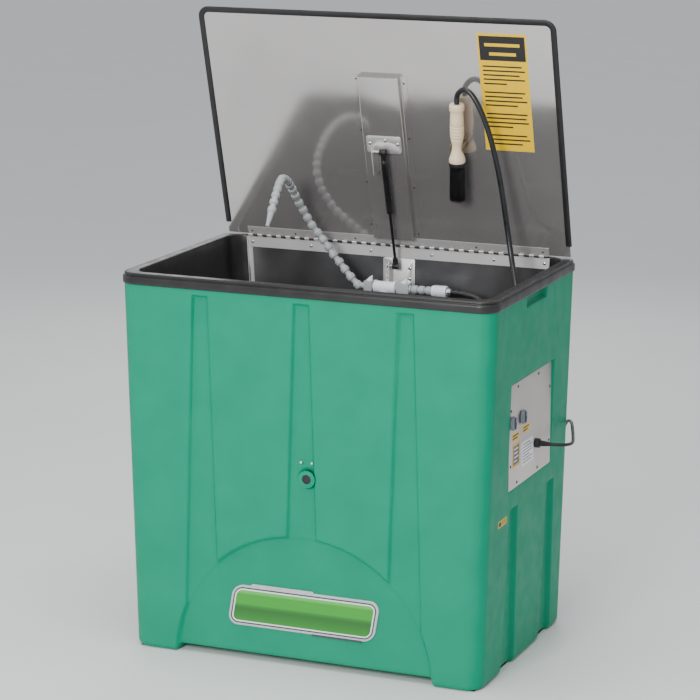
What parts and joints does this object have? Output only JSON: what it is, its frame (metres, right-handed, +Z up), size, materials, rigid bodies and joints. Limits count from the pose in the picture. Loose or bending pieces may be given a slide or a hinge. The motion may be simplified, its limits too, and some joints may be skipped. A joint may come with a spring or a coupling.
{
  "type": "parts washer",
  "caption": "Moulded parts washer tank with a drop-in sink, a hinged steel lid on a gas strut, a flow-through brush on a hose, a flexible spout and a side control panel.",
  "frame": {"origin": "floor level under the centre of the cabinet, midway between the two runners", "axes": "+Z up, +X to the right of a user facing the open tank (the control panel is on the +X side), +Y away from the user towards the lid's hinge"},
  "size_m": [1.1428, 0.8298, 1.7194],
  "materials": {
    "green_body": "fine moulded texture",
    "black_sink": "semi-gloss moulded",
    "stainless": "satin sheet",
    "hinge_steel": "rolled",
    "edge_rubber": "matt",
    "bright_hardware": "zinc plated",
    "clip_spring": "worn",
    "label_yellow": "printed film",
    "strut_black": "satin paint",
    "socket_black": "moulded",
    "grey_links": "moulded",
    "white_fittings": "moulded",
    "riser_grey": "moulded",
    "black_hose": "smooth",
    "brush_cream": "moulded",
    "bristle_black": "nylon bristle",
    "cord_black": "jacket",
    "box_grey": "moulded",
    "knob_grey": "moulded",
    "button_black": "moulded",
    "bezel_green": "moulded",
    "badge_face": "framed plate",
    "pump_black": "moulded",
    "heater_metal": "sheathed",
    "grid_steel": "welded bars"
  },
  "bodies": {
    "tank": {"cabinet_shell": "green_body", "sink_basin": "black_sink", "sink_back_panel": "stainless", "drain_strainer": "stainless", "hinge_lower_leaf": "hinge_steel", "hinge_pin": "hinge_steel", "hinge_lower_screws": "bright_hardware", "tank_strut_bracket": "bright_hardware", "tank_bracket_screws": "bright_hardware", "lower_ball_stud": "bright_hardware", "manifold_tee": "white_fittings", "riser_pipe": "riser_grey", "spout_valve_body": "grey_links", "brush_valve_body": "grey_links", "link_balls": "grey_links", "hose_coupler": "white_fittings", "hose_barb": "bright_hardware", "brush_hose_sink": "black_hose", "control_panel_plate": "stainless", "control_panel_screws": "bright_hardware", "panel_labels": "label_yellow", "control_box": "box_grey", "cord_outlet": "cord_black", "strain_relief": "cord_black", "power_cord": "cord_black", "power_cord_coil": "cord_black", "power_plug": "cord_black", "button_bezel": "bezel_green", "button_screws": "bright_hardware", "side_sticker": "label_yellow", "nameplate": "badge_face", "pump_housing": "pump_black", "supply_hose": "black_hose", "heater_element": "heater_metal"},
    "parts_grid": {"parts_grid": "grid_steel"},
    "lid": {"lid_panel": "stainless", "lid_edge_trim": "edge_rubber", "lid_channel": "stainless", "hinge_upper_leaf": "hinge_steel", "lid_strut_bracket": "bright_hardware", "lid_bracket_bolts": "bright_hardware", "upper_ball_stud": "bright_hardware", "brush_clip": "clip_spring", "lid_label": "label_yellow", "brush_hose_lid": "black_hose", "brush_hose_tail": "black_hose"},
    "brush": {"brush_handle": "brush_cream", "brush_head": "bristle_black"},
    "strut_rod": {"strut_lower_socket": "socket_black", "strut_rod": "strut_black"},
    "strut_cylinder": {"strut_cylinder": "strut_black", "strut_upper_socket": "socket_black"},
    "spout_lower": {"spout_lower": "grey_links"},
    "spout_middle": {"spout_middle": "grey_links"},
    "spout_nozzle": {"spout_nozzle": "grey_links"},
    "spout_valve_lever": {"spout_valve_lever": "grey_links"},
    "brush_valve_lever": {"brush_valve_lever": "grey_links"},
    "timer_knob": {"timer_knob": "knob_grey"},
    "heat_knob": {"heat_knob": "knob_grey"},
    "front_button": {"front_button": "button_black"}
  },
  "joints": [
    {"name": "lid_hinge", "type": "hinge", "parent": "tank", "child": "lid", "pos_m": [0, 0.3215, 1.048], "axis": [1, 0, 0], "range_deg": [0, 74.4], "stiffness_Nm_per_rad": 6, "springref_deg": -148.97, "deforming": ["brush_hose_lid"]},
    {"name": "strut_swing", "type": "hinge", "parent": "tank", "child": "strut_rod", "pos_m": [0.011, 0.3, 0.992], "axis": [1, 0, 0], "range_deg": [0, 70.8]},
    {"name": "strut_slide", "type": "slide", "parent": "strut_rod", "child": "strut_cylinder", "axis": [0, -0.2913, 0.9566], "range_m": [-0.0698, 0]},
    {"name": "spout_fold", "type": "hinge", "parent": "tank", "child": "spout_lower", "pos_m": [-0.081, 0.243, 0.941], "axis": [0, -1, 0], "range_deg": [0, 62.2]},
    {"name": "spout_bend", "type": "hinge", "parent": "spout_lower", "child": "spout_middle", "pos_m": [-0.256, 0.203, 1.19], "axis": [0, 0, 1], "range_deg": [-20, 20]},
    {"name": "nozzle_bend", "type": "hinge", "parent": "spout_middle", "child": "spout_nozzle", "pos_m": [-0.227, 0.027, 1.25], "axis": [1, 0, 0], "range_deg": [-25, 25]},
    {"name": "brush_lift", "type": "slide", "parent": "lid", "child": "brush", "axis": [0, -0.9632, -0.2689], "range_m": [0, 0.04], "deforming": ["brush_hose_tail"]},
    {"name": "spout_valve_turn", "type": "hinge", "parent": "tank", "child": "spout_valve_lever", "pos_m": [-0.04645, 0.243, 0.957], "axis": [0, 0, 1], "range_deg": [0, 90]},
    {"name": "brush_valve_turn", "type": "hinge", "parent": "tank", "child": "brush_valve_lever", "pos_m": [0.05815, 0.243, 0.957], "axis": [0, 0, 1], "range_deg": [0, 90]},
    {"name": "timer_turn", "type": "hinge", "parent": "tank", "child": "timer_knob", "pos_m": [0.5205, -0.158, 0.69], "axis": [1, 0, 0], "range_deg": [0, 300]},
    {"name": "heat_turn", "type": "hinge", "parent": "tank", "child": "heat_knob", "pos_m": [0.5205, -0.076, 0.69], "axis": [1, 0, 0], "range_deg": [0, 270]},
    {"name": "button_press", "type": "slide", "parent": "tank", "child": "front_button", "axis": [0, 1, 0], "range_m": [0, 0.004], "stiffness_N_per_m": 200, "springref_m": -0.002},
    {"name": "grid_lift", "type": "slide", "parent": "tank", "child": "parts_grid", "axis": [0, 0, 1], "range_m": [0, 0.07], "deforming": ["brush_hose_sink"]}
  ],
  "couplings": [
    {"joint": "strut_swing", "follows": "lid_hinge", "ratio": 0.94947},
    {"joint": "strut_slide", "follows": "lid_hinge", "m_per_rad": -0.05352},
    {"joint": "spout_fold", "follows": "lid_hinge", "ratio": 0.83333}
  ]
}
